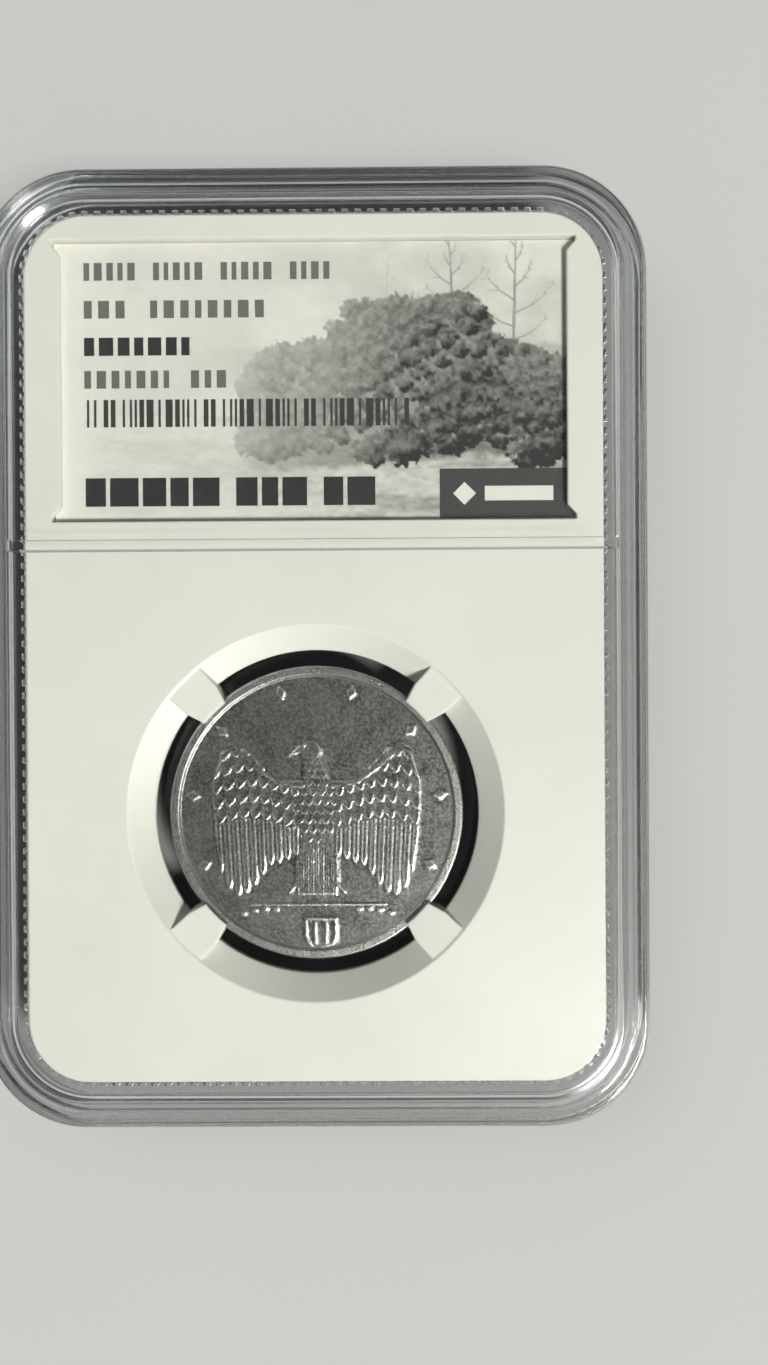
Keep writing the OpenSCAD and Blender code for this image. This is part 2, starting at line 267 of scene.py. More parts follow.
def slab_outline(half_x, half_y, shell, extra):
    """Once round the slab, anticlockwise from the foot of the right side. Each place has the point of
    the inner rectangle it belongs to and the outward direction: along a side the point moves, round a
    corner the direction turns. Also gives each place's rib depth, and the number of places on the right
    side. extra are heights that both long sides have a place at."""
    run_x, run_y = half_x - shell.corner, half_y - shell.corner
    flank = 0.2 * shell.rib
    inner = shell.corner - shell.wall
    arc, arc_depth = rib_marks(inner * np.pi / 2, shell.rib_pitch, shell.rib, flank, centred=False)
    between = (arc[:-1] + arc[1:]) / 2
    arc_depth = np.concatenate([arc_depth, np.interp(between, arc, arc_depth)])
    arc = np.concatenate([arc, between])
    order = np.argsort(arc)
    turn, arc_depth = arc[order] / inner + np.pi / 4, arc_depth[order]
    parts = []
    for run, more in ((run_y, extra), (run_x, np.zeros(0))):
        marks, depths = rib_marks(2 * run, shell.rib_pitch, shell.rib, flank)
        places = np.unique(np.round(np.concatenate([[-run, run], marks, more, -more]), 8))
        parts.append((places, np.interp(places, marks, depths, 0.0, 0.0)))
    (up, up_depth), (across, across_depth) = parts
    axis = np.concatenate(
        [
            np.stack([np.full_like(up, run_x), up], 1),
            np.tile([run_x, run_y], (len(turn), 1)),
            np.stack([-across, np.full_like(across, run_y)], 1),
            np.tile([-run_x, run_y], (len(turn), 1)),
        ]
    )
    angle = np.concatenate(
        [np.zeros(len(up)), turn, np.full(len(across), np.pi / 2), turn + np.pi / 2]
    )
    way = np.stack([np.cos(angle), np.sin(angle)], 1)
    depth = np.concatenate([up_depth, arc_depth, across_depth, arc_depth])
    return np.vstack([axis, -axis]), np.vstack([way, -way]), np.tile(depth, 2), len(up)


def carry_section(section, axis, way, corner, rib_share, rib_depth):
    """Carries a cross-section of (inset, height) round the slab: a point stands at the outline's own
    point plus the outward direction times (corner radius - inset). rib_share is how much of a rib each
    section point takes."""
    reach = corner - section[:, :1] - rib_share[:, None] * rib_depth[None, :]
    flat = axis[None] + way[None] * reach[..., None]
    height = np.broadcast_to(section[:, 1:2], reach.shape)
    return np.concatenate([flat, height[..., None]], axis=-1)


# ---------------------------------------------------------------- materials


def new_material(name):
    """A material and its empty node tree."""
    material = bpy.data.materials.new(name)
    material.use_nodes = True
    material.node_tree.nodes.clear()
    return material, material.node_tree


def add(tree, kind, **inputs):
    """A new node with some of its inputs set or linked. Words with underscores stand for a socket's own
    words, and n0, n1 and so on for its first, second and later sockets."""
    node = tree.nodes.new(kind)
    for key, value in inputs.items():
        by_number = key[0] == "n" and key[1:].isdigit()
        socket = node.inputs[int(key[1:]) if by_number else key.replace("_", " ")]
        if isinstance(value, bpy.types.NodeSocket):
            tree.links.new(value, socket)
        else:
            socket.default_value = value
    return node


def surface(tree, **inputs):
    """An opaque surface: a Principled shader with some of its inputs set or linked."""
    body = add(tree, "ShaderNodeBsdfPrincipled", **inputs)
    add(tree, "ShaderNodeOutputMaterial", Surface=body.outputs[0])


def clear_surface(tree, shade, **inputs):
    """A surface of polystyrene that the lamps' light passes straight through, dimmed to a shade."""
    body = add(tree, "ShaderNodeBsdfPrincipled", IOR=1.59, **inputs)
    through = add(tree, "ShaderNodeBsdfTransparent", Color=(shade, shade, shade, 1.0))
    shadow = add(tree, "ShaderNodeLightPath").outputs["Is Shadow Ray"]
    mix = add(tree, "ShaderNodeMixShader", n0=shadow, n1=body.outputs[0], n2=through.outputs[0])
    add(tree, "ShaderNodeOutputMaterial", Surface=mix.outputs[0])


def attribute(tree, name):
    """A number that the piece carries at each point."""
    node = add(tree, "ShaderNodeAttribute")
    node.attribute_name = name
    return node.outputs["Fac"]


def noise(tree, scale, detail=3.0, roughness=0.55):
    """Noise over the piece's own coordinates. scale is in repeats per metre."""
    place = add(tree, "ShaderNodeTexCoord").outputs["Object"]
    node = add(tree, "ShaderNodeTexNoise", Vector=place, Scale=scale, Detail=detail, Roughness=roughness)
    return node.outputs["Fac"]


def stretch(tree, value, low, high, new_low=0.0, new_high=1.0):
    """Maps a value from one range to another and holds it within the new one."""
    ends = {"From_Min": low, "From_Max": high, "To_Min": new_low, "To_Max": new_high}
    return add(tree, "ShaderNodeMapRange", Value=value, **ends).outputs["Result"]


def blend_colours(tree, share, first, second):
    """A mix of two colours by share."""
    node = tree.nodes.new("ShaderNodeMix")
    node.data_type = "RGBA"
    for socket, value in ((node.inputs[0], share), (node.inputs[6], first), (node.inputs[7], second)):
        if isinstance(value, bpy.types.NodeSocket):
            tree.links.new(value, socket)
        else:
            socket.default_value = value if isinstance(value, float) else (*value, 1.0)
    return node.outputs[2]


def uneven_colour(tree, value, low, colour, dim):
    """A colour that is dimmed where a noise is high."""
    return blend_colours(tree, stretch(tree, value, low, 0.7), colour, [dim * c for c in colour])


def times_and_plus(tree, value, factor, more):
    """A node that gives a value times a factor, plus more."""
    node = add(tree, "ShaderNodeMath", n0=value, n1=factor, n2=more)
    node.operation = "MULTIPLY_ADD"
    return node


def bump(tree, height, depth, strength=1.0, normal=None):
    """A bumped normal from a height, with its full depth in metres."""
    node = add(tree, "ShaderNodeBump", Strength=strength, Distance=depth, Height=height)
    if normal is not None:
        tree.links.new(normal, node.inputs["Normal"])
    return node.outputs["Normal"]


def scratches(tree, scale, turn, thin):
    """Thin lines here and there: a noise drawn out along one direction, kept only near its middle
    value."""
    place = add(tree, "ShaderNodeTexCoord").outputs["Object"]
    turned = add(tree, "ShaderNodeMapping", Vector=place, Rotation=(0.0, 0.0, turn), Scale=(1.0, 0.03, 1.0))
    node = add(tree, "ShaderNodeTexNoise", Vector=turned.outputs["Vector"], Scale=scale, Detail=2.0)
    off = add(tree, "ShaderNodeMath", n0=node.outputs["Fac"], n1=0.5)
    off.operation = "SUBTRACT"
    size = add(tree, "ShaderNodeMath", n0=off.outputs[0])
    size.operation = "ABSOLUTE"
    return stretch(tree, size.outputs[0], 0.0, thin, 1.0, 0.0)


def clear_plastic(name, tint, rough, shade):
    """Clear polystyrene: bends light by its index, with a slight waviness and fine rubbed scratches."""
    material, tree = new_material(name)
    wavy = bump(tree, noise(tree, 40.0, 1.0), 0.01 * MM, 0.25)
    rubbed = bump(tree, scratches(tree, 700.0, 0.6, 0.006), 0.002 * MM, 0.3, wavy)
    rubbed = bump(tree, scratches(tree, 600.0, -0.9, 0.005), 0.002 * MM, 0.3, rubbed)
    clear_surface(
        tree, shade, Base_Color=(*tint, 1.0), Transmission_Weight=1.0, Roughness=rough, Normal=rubbed
    )
    return material


def flank_shade_plastic(name, tint):
    """The same plastic where the mould left it matt along the bar's flanks: light passes but is scattered.
    Its soft grey is painted shade, for the thin shade lines along the bar."""
    material, tree = new_material(name)
    grain = bump(tree, noise(tree, 9000.0), 0.01 * MM, 0.6)
    # Painted shade: the flanks' grey, darker than the clear plastic round it.
    flank_shade_grey = (*(0.3 * c for c in tint), 1.0)
    clear_surface(tree, 0.8, Base_Color=flank_shade_grey, Transmission_Weight=0.3, Roughness=0.5, Normal=grain)
    return material


def core_plastic(finish):
    """Opaque white moulded plastic: satin, with soft edges, faint flow marks and a very fine pebble."""
    material, tree = new_material("White core plastic")
    soft = add(tree, "ShaderNodeBevel", Radius=0.3 * MM)
    soft.samples = 4
    surface(
        tree,
        Base_Color=uneven_colour(tree, noise(tree, 55.0, 4.0), 0.35, finish.core, 0.93),
        Roughness=stretch(tree, noise(tree, 900.0), 0.3, 0.7, 0.36, 0.5),
        IOR=1.49,
        Normal=bump(tree, noise(tree, 6000.0, 2.0), 0.004 * MM, 0.5, soft.outputs[0]),
    )
    return material


def printed_card(name, finish):
    """Coated card with print: the ink attribute darkens the paper, and both show the card's fibres."""
    material, tree = new_material(name)
    ink = attribute(tree, "ink")
    fibres = noise(tree, 2600.0, 4.0)
    sheet = uneven_colour(tree, fibres, 0.3, finish.paper, 0.94)
    surface(
        tree,
        Base_Color=blend_colours(tree, ink, sheet, finish.ink),
        Roughness=stretch(tree, ink, 0.0, 1.0, 0.55, 0.4),
        Normal=bump(tree, fibres, 0.006 * MM, 0.5),
    )
    return material


def coin_steel(finish):
    """Worn steel: bright where the design stands proud, filmed over in the field, speckled, pitted and
    scratched."""
    material, tree = new_material("Worn coin steel")
    proud = attribute(tree, "proud")
    patches = stretch(tree, noise(tree, 350.0, 5.0, 0.65), 0.38, 0.64)
    specks = stretch(tree, noise(tree, 4200.0, 3.0, 0.85), 0.45, 0.57)
    film = times_and_plus(tree, patches, 0.3, stretch(tree, proud, 0.1, 0.9, 0.0, 0.7))
    clean = times_and_plus(tree, specks, 0.6, film.outputs[0])
    clean.use_clamp = True
    rubbed = stretch(tree, proud, 0.2, 0.9, 0.0, 0.9)
    tone = blend_colours(tree, clean.outputs[0], finish.grime, finish.steel)
    pits = bump(tree, noise(tree, 3000.0, 4.0, 0.75), 0.03 * MM, 0.7)
    marked = bump(tree, scratches(tree, 1400.0, 0.9, 0.02), 0.01 * MM, 0.35, pits)
    surface(
        tree,
        Base_Color=blend_colours(tree, rubbed, tone, [2.0 * c for c in finish.steel]),
        Metallic=1.0,
        Roughness=stretch(tree, clean.outputs[0], 0.0, 1.0, 0.38, 0.26),
        Normal=bump(tree, scratches(tree, 1200.0, -0.6, 0.02), 0.01 * MM, 0.3, marked),
    )
    return material


def seal_foil(finish):
    """Embossed foil: fine rulings that split the light into soft bands of colour."""
    material, tree = new_material("Seal foil")
    place = add(tree, "ShaderNodeTexCoord").outputs["Object"]
    bands = add(tree, "ShaderNodeTexWave", Vector=place, Scale=95.0, Distortion=3.0, Detail=2.0)
    bands.bands_direction = "DIAGONAL"
    ramp = add(tree, "ShaderNodeValToRGB", Fac=bands.outputs["Fac"])
    ramp.color_ramp.elements[0].color = (0.45, 0.62, 0.78, 1.0)
    ramp.color_ramp.elements[1].color = (0.78, 0.60, 0.72, 1.0)
    middle = ramp.color_ramp.elements.new(0.5)
    middle.color = (0.62, 0.78, 0.60, 1.0)
    rulings = add(tree, "ShaderNodeTexWave", Vector=place, Scale=1500.0)
    rulings.bands_direction = "X"
    surface(
        tree,
        Base_Color=blend_colours(tree, 0.55, ramp.outputs["Color"], finish.foil),
        Metallic=1.0,
        Roughness=stretch(tree, noise(tree, 800.0), 0.3, 0.7, 0.16, 0.3),
        Normal=bump(tree, rulings.outputs["Fac"], 0.02 * MM, 0.4),
    )
    return material


def floor_finish(finish):
    """A plain pale matt floor with a trace of unevenness."""
    material, tree = new_material("Studio floor")
    tone = uneven_colour(tree, noise(tree, 12.0), 0.3, finish.floor, 0.97)
    surface(tree, Base_Color=tone, Roughness=0.9, Specular_IOR_Level=0.1)
    return material


# ---------------------------------------------------------------- clear shells


def front_section(shell, top, seam):
    """The front shell's section from the window's edge over the rim and ledge, down the outer wall,
    through the weld groove and up the inner wall to the underside of the window."""
    rim_start = shell.ledge + shell.play
    rim_end = rim_start + shell.rim
    foot = rim_end + shell.slope
    window = top - shell.recess
    ledge = top - shell.ledge_drop
    groove_top = seam + shell.tongue + 2 * shell.tongue_play
    groove_out = shell.tongue_inset - shell.tongue_play
    groove_in = shell.tongue_inset + shell.tongue + shell.tongue_play
    chamfer = 0.2 * MM
    start = seam + HAIRLINE
    return [
        (foot + 0.6 * MM, window, 0.0),
        (foot + 0.35 * MM, window, 0.0),
        (foot, window, 0.2 * MM),
        (rim_end, top, 0.18 * MM),
        (rim_start, top, 0.15 * MM),
        (shell.ledge, ledge, 0.12 * MM),
        (0.0, ledge, shell.shoulder),
        (0.0, start + chamfer, 0.06 * MM),
        (chamfer, start, 0.0),
        (groove_out, start, 0.04 * MM),
        (groove_out, groove_top, 0.1 * MM),
        (groove_in, groove_top, 0.1 * MM),
        (groove_in, start, 0.04 * MM),
        (shell.wall, start, 0.05 * MM),
        (shell.wall, window - shell.window, 0.15 * MM),
        (shell.wall + 0.5 * MM, window - shell.window, 0.0),
    ]


def back_section(shell, seam, floor):
    """The back shell's section from the cavity's floor up the inner wall, over the weld tongue, down
    the outer wall and under the skirt to the outside of the back window."""
    chamfer = 0.2 * MM
    tongue_top = seam + shell.tongue + shell.tongue_play
    tongue_in = shell.tongue_inset + shell.tongue
    skirt = shell.ledge - 2 * shell.play
    outside = shell.ledge_drop + shell.play
    inside = floor - HAIRLINE
    return [
        (shell.wall + 0.5 * MM, inside, 0.0),
        (shell.wall, inside, 0.15 * MM),
        (shell.wall, seam, 0.05 * MM),
        (tongue_in, seam, 0.04 * MM),
        (tongue_in, tongue_top, 0.1 * MM),
        (shell.tongue_inset, tongue_top, 0.1 * MM),
        (shell.tongue_inset, seam, 0.04 * MM),
        (chamfer, seam, 0.0),
        (0.0, seam - chamfer, 0.06 * MM),
        (0.0, 0.0, shell.shoulder),
        (skirt, 0.0, 0.12 * MM),
        (skirt + shell.play, outside, 0.12 * MM),
        (skirt + shell.play + 0.6 * MM, outside, 0.0),
    ]


def bar_lift(shell, y, bar_y):
    """Height of the window's bar at a distance along the slab: flat on top, easing down over a tenth of
    its width at each edge."""
    off = np.abs(y - bar_y)
    return shell.bar_height * ease(0.0, shell.bar / 10, shell.bar / 2 - off)


def window_strip(side, count, lower, upper):
    """The window between the first and last of the bar's lines: the right side's places, four-sided
    faces from them across to the left side, and the rims of the flat panels above and below the strip.
    side is the number of places on the right side and count the number all round."""
    rows = np.arange(lower, upper)
    left = count // 2 + side - 1
    strip = np.stack([rows, rows + 1, left - rows - 1, left - rows], 1)
    above = np.arange(upper, left - upper + 1)
    below = np.arange(left - lower, count + lower + 1) % count
    return rows, strip, [above, below]


def weld_slots(owner, corners, count):
    """Material slot 1 for the rings of faces that start at the weld's corners, and 0 for the others."""
    return np.repeat(np.isin(owner[:-1], corners), count).astype(np.int32)


class SLAB_OT_build_shells(bpy.types.Operator):
    """Builds the front and back shells of clear plastic"""

    bl_idname = "slab.build_shells"
    bl_label = "Build Clear Shells"

    def execute(self, context):
        shell, finish = context.scene.slab_shell, context.scene.slab_finish
        low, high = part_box("front_shell")
        half_x, half_y = high.x, high.y
        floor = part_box("core")[0].z
        # The bar's flanks get a grey, matt plastic: painted shade lines along the bar.
        flank_shade = flank_shade_plastic("Bar flanks with painted shade", finish.plastic)
        clear = clear_plastic("Clear plastic", finish.plastic, 0.015, 0.91)
        weld = clear_plastic("Clear plastic at the weld", finish.plastic, 0.13, 0.86)

        bar_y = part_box("front_label")[0].y - shell.bar_below
        lines = bar_y + shell.bar * np.array(BAR_LINES)
        axis, way, ribs, side = slab_outline(half_x, half_y, shell, lines)
        section, owner = rounded_section(front_section(shell, high.z, low.z))
        ribbed = (owner == FRONT_CEILING) * 1.0
        points = carry_section(section, axis, way, shell.corner, ribbed, ribs * shell.rib_depth)
        lift = high.z - shell.recess + bar_lift(shell, axis[:, 1], bar_y)
        on_window = np.isin(owner, FRONT_WINDOW)
        points[on_window, :, 2] = np.maximum(points[on_window, :, 2], lift[None])
        rings, count = points.shape[:2]
        up = axis[:side, 1]
        lower, upper = np.searchsorted(up, [lines[0] - CLOSE, lines[-1] - CLOSE])
        rows, strip, panels = window_strip(side, count, lower, upper)
        underside = np.arange((rings - 1) * count, rings * count)[::-1]
        off = ((up[rows] + up[rows + 1]) / 2 - bar_y) / shell.bar
        on_flank = (np.abs(off) < 0.5) & ((off > FLANK_ABOVE) | (off < FLANK_BELOW))
        front = make_piece(
            "clear_front_shell",
            points.reshape(-1, 3),
            np.vstack([grid_quads(rings, count, True), strip]),
            [*panels, underside],
            [clear, weld, flank_shade],
            np.concatenate([weld_slots(owner, FRONT_GROOVE, count), 2 * on_flank]),
        )
        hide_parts("front_shell")

        # The back shell has no ribs, so fewer places do, but the corners need all of theirs.
        axis, way, ribs, side = slab_outline(half_x, half_y, shell, np.zeros(0))
        thinned = np.concatenate([np.arange(0, len(axis), 3), np.flatnonzero(ribs == 0)[::4]])
        turning = np.flatnonzero(np.abs(way[:, 0] * way[:, 1]) > CLOSE)
        places = np.union1d(thinned, turning)
        section, owner = rounded_section(back_section(shell, low.z, floor))
        plain = np.zeros(len(section))
        points = carry_section(section, axis[places], way[places], shell.corner, plain, ribs[places])
        rings, count = points.shape[:2]
        inside = np.arange(count)
        outside = np.arange((rings - 1) * count, rings * count)[::-1]
        back = make_piece(
            "clear_back_shell",
            points.reshape(-1, 3),
            grid_quads(rings, count, True),
            [inside, outside],
            [clear, weld],
            weld_slots(owner, BACK_TONGUE, count),
        )
        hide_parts("back_shell")
        return {"FINISHED"}


# ---------------------------------------------------------------- core


class SLAB_OT_build_core(bpy.types.Operator):
    """Gives the white core its moulded finish"""

    bl_idname = "slab.build_core"
    bl_label = "Finish White Core"

    def execute(self, context):
        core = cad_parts["core"]
        core.data.materials.clear()
        core.data.materials.append(core_plastic(context.scene.slab_finish))
        return {"FINISHED"}


# ---------------------------------------------------------------- coin


def bar_between(x, y, start, end, thick_start, thick_end):
    """How far a place is inside a bar with round ends: the thickness at the nearest point of the line
    between the ends, less the distance to it. Negative outside."""
    dx, dy = end[0] - start[0], end[1] - start[1]
    along = np.clip(((x - start[0]) * dx + (y - start[1]) * dy) / (dx * dx + dy * dy), 0.0, 1.0)
    off = np.hypot(x - start[0] - along * dx, y - start[1] - along * dy)
    return thick_start + (thick_end - thick_start) * along - off


def raised(inside, edge=0.12):
    """0 outside a shape and 1 inside it, easing over its edge."""
    return ease(0.0, edge, inside)


def scales(x, y, wide, tall):
    """Overlapping rounded scales in rows, each row half a scale further on: 0.5 at a scale's upper end,
    rising to 1 at its rounded lower edge, with a fine groove along its middle."""

    def hang(part):
        return 0.45 * (1.0 - (2.0 * part - 1.0) ** 2)

    row = np.floor(y / tall)
    part = (x / wide + 0.5 * (row % 2)) % 1.0
    along = y / tall - row
    lower = along + hang(part) - 0.45
    part = np.where(lower < 0, (part + 0.5) % 1.0, part)
    lower = np.where(lower < 0, along + hang(part) + 0.55, lower)
    shaft = 0.16 * ease(0.13, 0.0, np.abs(part - 0.5))
    return 0.5 + 0.5 * np.clip(1.0 - lower, 0.0, 1.0) ** 2 - 0.8 * shaft


def hanging_feathers(x, wide):
    """Long upright feathers side by side: each a rounded ridge with a fine groove along its middle."""
    part = (x / wide) % 1.0
    round_top = np.clip(1.0 - (2.0 * part - 1.0) ** 6, 0.0, 1.0) ** 0.5
    return 0.2 + 0.7 * round_top - 0.2 * ease(0.14, 0.0, np.abs(part - 0.5))


def wing_relief(x, y):
    """A raised wing seen from the front, for x of 0 and more: a smooth leading edge, rows of scales
    below it, and long feathers that hang from under the scales. Lengths are in eagle_relief's
    millimetres."""
    top = 2.95 + 3.3 * ease(2.6, 7.2, x) - 4.5 * ease(7.3, 9.6, x)
    cover = -1.1 + 0.28 * (x - 2.0) * ease(9.5, 4.0, x)
    lean = x - 0.045 * (y - 1.0) * (x / 6.0)
    feather = 0.74
    column = np.floor(lean / feather)
    part = lean / feather - column
    feet = [-3.6, -4.2, -4.4, -5.2, -6.1, -6.8, -7.0, -6.4, -5.0]
    tip = np.interp(column, [2, 4, 5, 6, 7, 8, 9, 10, 11], feet) + 0.75 * (2.0 * part - 1.0) ** 2
    outer = 8.85 - 0.014 * (y - 2.2) ** 2
    inside = np.minimum(np.minimum(top - y, y - tip), np.minimum(x - 1.45, outer - x))
    rows = scales(x + 0.25 * y, y - cover, 0.95, 1.35)
    feathers = np.where(y < cover, hanging_feathers(lean, feather), rows)
    inner = ((1.3, 2.6, 0.5), (3.4, 2.75, 0.34), (5.2, 4.1, 0.34))
    joints = (*inner, (6.9, 5.7, 0.42), (7.9, 5.2, 0.36), (8.5, 3.4, 0.24))
    bones = [bar_between(x, y, a[:2], b[:2], a[2], b[2]) for a, b in zip(joints, joints[1:])]
    return np.maximum(raised(inside) * feathers, 0.9 * raised(np.maximum.reduce(bones), 0.25))


def shield_relief(x, y):
    """A plain shield with a raised edge and two upright bars."""
    wide = np.abs(x)
    inside = np.where(y < 0.0, 1.45 - np.hypot(x, y), np.minimum(1.45 - wide, 1.5 - y))
    bars = raised(np.minimum(0.17 - np.abs(wide - 0.45), inside - 0.4), 0.08)
    return 0.85 * raised(inside) - 0.6 * raised(inside - 0.28) + 0.5 * bars


def eagle_relief(x, y):
    """A plain eagle with spread wings over a base line, two sprigs of dots and a plain shield. Heights
    run from 0 to 1, and x and y are in millimetres, before coin_design stretches them a little."""
    wide = np.abs(x)
    breast_in = 2.1 * (1.0 - np.hypot(x / 2.1, (y - 0.2) / 4.0))
    breast = raised(breast_in, 0.7) * (0.4 + 0.6 * scales(x, y, 0.72, 0.8))
    neck_in = bar_between(x, y, (0.0, 2.6), (-0.35, 4.8), 1.5, 1.0)
    neck = 0.9 * raised(neck_in, 0.5) * (0.55 + 0.45 * scales(x, y, 0.5, 0.62))
    head = 0.95 * raised(1.15 - np.hypot(x + 0.5, y - 5.5), 0.45)
    beak = 0.95 * raised(bar_between(x, y, (-1.35, 5.6), (-2.4, 5.0), 0.42, 0.08), 0.15)
    eye = 0.55 * raised(0.2 - np.hypot(x + 0.85, y - 5.75), 0.08)
    leg_in = bar_between(wide, y, (0.95, -2.4), (1.65, -5.6), 1.0, 0.42)
    leg = 0.8 * raised(leg_in, 0.35) * (0.6 + 0.4 * scales(x, y, 0.5, 0.7))
    toes = [
        bar_between(wide, y, (1.6, -5.9), (1.6 + reach, -6.85 + 0.2 * np.abs(reach)), 0.26, 0.12)
        for reach in (-0.75, 0.0, 0.75)
    ]
    tail_in = np.minimum(1.15 + 0.12 * (-2.0 - y) - wide, np.minimum(y + 7.0, -2.0 - y))
    tail = raised(tail_in) * hanging_feathers(x + 0.21, 0.42) * 0.85
    base = 0.6 * raised(bar_between(x, y, (-5.6, -7.75), (5.8, -7.75), 0.14, 0.14))
    sprig = [
        0.36 - np.hypot(wide - along, (y + 9.0 + 0.1 * (along - 4.2) ** 2 - 0.9) * 1.5)
        for along in (3.5, 4.4, 5.3, 6.2)
    ]
    feet, dots = 0.8 * raised(np.maximum.reduce(toes)), 0.6 * raised(np.maximum.reduce(sprig))
    bird = [wing_relief(wide, y), breast, neck, head - eye, beak, leg, feet, tail]
    return np.maximum.reduce([*bird, base, dots, shield_relief(x - 0.3, y + 10.3)])


def lozenge_relief(x, y):
    """Eight plain lozenges on an arc round the upper part of the coin."""
    around, out = np.degrees(np.arctan2(y, x)), np.hypot(x, y)
    marks = -25.0 + np.arange(8) * 230.0 / 7
    off = np.min(np.abs((around[..., None] - marks + 180.0) % 360.0 - 180.0), axis=-1)
    inside = 1 - np.abs(out - 11.35) / 0.85 - np.radians(off) * out / 0.55
    return 0.7 * ease(0.0, 0.25, inside)


def coin_design(x, y):
    """The whole design of the front: the eagle with its base line and shield, and the lozenges round
    it."""
    return np.maximum(eagle_relief(x / 1.08, y / 1.06 + 0.2), lozenge_relief(x, y))


def standing_out(relief, x, y, reach=0.2):
    """How far a relief stands above the mean of six places round it: high on ridges and along upper
    edges, where a coin wears bright."""
    shifts = reach * np.exp(1j * np.arange(6) * np.pi / 3)
    around = sum(relief(x + shift.real, y + shift.imag) for shift in shifts) / len(shifts)
    return np.clip(3.0 * (relief(x, y) - around), 0.0, 1.0)


def wreath_relief(x, y):
    """The unseen side: a ring of leaves in pairs round a plain star."""
    around, out = np.arctan2(y, x), np.hypot(x, y)
    leaf = around * 18 / np.pi
    part = leaf - np.floor(leaf) - 0.5
    slant = part * 1.4 + 0.22 * np.abs(out - 8.6)
    leaves = 0.9 * raised(0.42 - np.hypot(slant, (np.abs(out - 8.6) - 0.75) / 1.7), 0.15)
    stem = 0.6 * raised(0.16 - np.abs(out - 8.6))
    star = 0.9 * raised(3.6 * (0.62 + 0.38 * np.cos(5 * around - np.pi / 2)) - out, 0.6)
    return np.maximum.reduce([leaves, stem, star])


class SLAB_OT_build_coin(bpy.types.Operator):
    """Builds the worn steel coin with its raised design"""

    bl_idname = "slab.build_coin"
    bl_label = "Build Coin"

    def execute(self, context):
        coin, finish = context.scene.slab_coin, context.scene.slab_finish
        low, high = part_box("coin")
        centre = (low + high) / 2
        radius = (high.x - low.x) / 2
        field = radius - coin.rim
        flat, slope = field - 0.25 * MM, field - 0.2 * MM
        top, under = high.z - coin.field, low.z + coin.field
        edge = [
            (flat, top, 0.0),
            (slope, top, 0.08 * MM),
            (field, high.z, 0.12 * MM),
            (radius, high.z, 0.2 * MM),
            (radius, low.z, 0.2 * MM),
            (field, low.z, 0.12 * MM),
            (slope, under, 0.08 * MM),
            (flat, under, 0.0),
        ]
        rim = rounded_section(edge, steps=3)[0][1:-1]
        out, back = np.linspace(0.0, flat, RINGS_FRONT), np.linspace(0.0, flat, RINGS_BACK)[::-1]
        reach = np.concatenate([out, rim[:, 0], back])
        height = np.concatenate([np.full(RINGS_FRONT, top), rim[:, 1], np.full(RINGS_BACK, under)])
        angle = np.linspace(0, 2 * np.pi, coin.turns, endpoint=False)
        x = reach[:, None] * np.cos(angle)
        y = reach[:, None] * np.sin(angle)
        z = np.repeat(height[:, None], coin.turns, 1)
        proud = np.full(x.shape, EDGE_SHINE)

        face = slice(0, RINGS_FRONT)
        across, up = x[face] / MM, y[face] / MM
        near_rim = ease(0.0, 0.5, field / MM - 0.3 - np.hypot(across, up))
        uneven = 0.07 * (layered_mottle(across, up, 2.4, 3.0) - 0.5)
        worn = coin_design(across, up) * (0.86 + 0.14 * layered_mottle(across, up, 1.2, 11.0))
        z[face] += coin.relief * near_rim * np.clip(worn + uneven, 0.0, 1.0)
        proud[face] = standing_out(coin_design, across, up)

        face = slice(-RINGS_BACK, None)
        across, up = x[face] / MM, y[face] / MM
        z[face] -= coin.relief * 0.8 * wreath_relief(across, up)
        proud[face] = standing_out(wreath_relief, across, up)

        points = np.stack([centre.x + x, centre.y + y, z], axis=-1).reshape(-1, 3)
        quads = grid_quads(len(reach), coin.turns, True)
        shine = {"proud": proud.ravel()}
        piece = make_piece("worn_coin", points, quads, [], [coin_steel(finish)], values=shine, crease=1.2)
        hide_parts("coin")
        return {"FINISHED"}


# ---------------------------------------------------------------- cards and seal


def bars(lefts, widths, low, high, ink, skew=0.0):
    """Printed bars side by side, as rows of (left, right, low, high, ink, skew) in shares of the card's
    width."""
    lefts, widths = np.broadcast_arrays(np.atleast_1d(lefts), widths)
    same = [np.full(len(lefts), value) for value in (low, high, ink, skew)]
    return np.stack([lefts, lefts + widths, *same], axis=-1)


def letter_bars(left, right, counts, low, high, ink, gap=0.3):
    """Small upright blocks in place of letters, in words of the given counts. Widths follow the golden
    ratio between 0.55 and 1, and the row is scaled to run from left to right."""
    count = sum(counts)
    widths = 0.55 + 0.45 * ((np.arange(count) * GOLDEN + 0.3) % 1.0)
    spaces = np.full(count, gap)
    spaces[np.cumsum(counts)[:-1] - 1] = 4 * gap
    ends = np.cumsum(widths + spaces)
    scale = (right - left) / (ends[-1] - spaces[-1])
    return bars(left + (ends - widths - spaces) * scale, widths * scale, low, high, ink)


def stripe_code(left, right, low, high, ink, count=136):
    """Upright stripes of uneven widths that follow the golden ratio and stand for no number. count is
    how many of the thinnest would stand side by side with no gaps."""
    slots = np.arange(count)
    dark = (slots * GOLDEN + 0.23 * (slots // 3) + 0.31 * (slots // 7)) % 1.0 > 0.46
    pitch = (right - left) / count
    starts = np.flatnonzero(dark & ~np.roll(dark, 1))
    ends = np.flatnonzero(dark & ~np.roll(dark, -1)) + 1
    whole = min(len(starts), len(ends))
    return bars(left + starts[:whole] * pitch, (ends[:whole] - starts[:whole]) * pitch, low, high, ink)


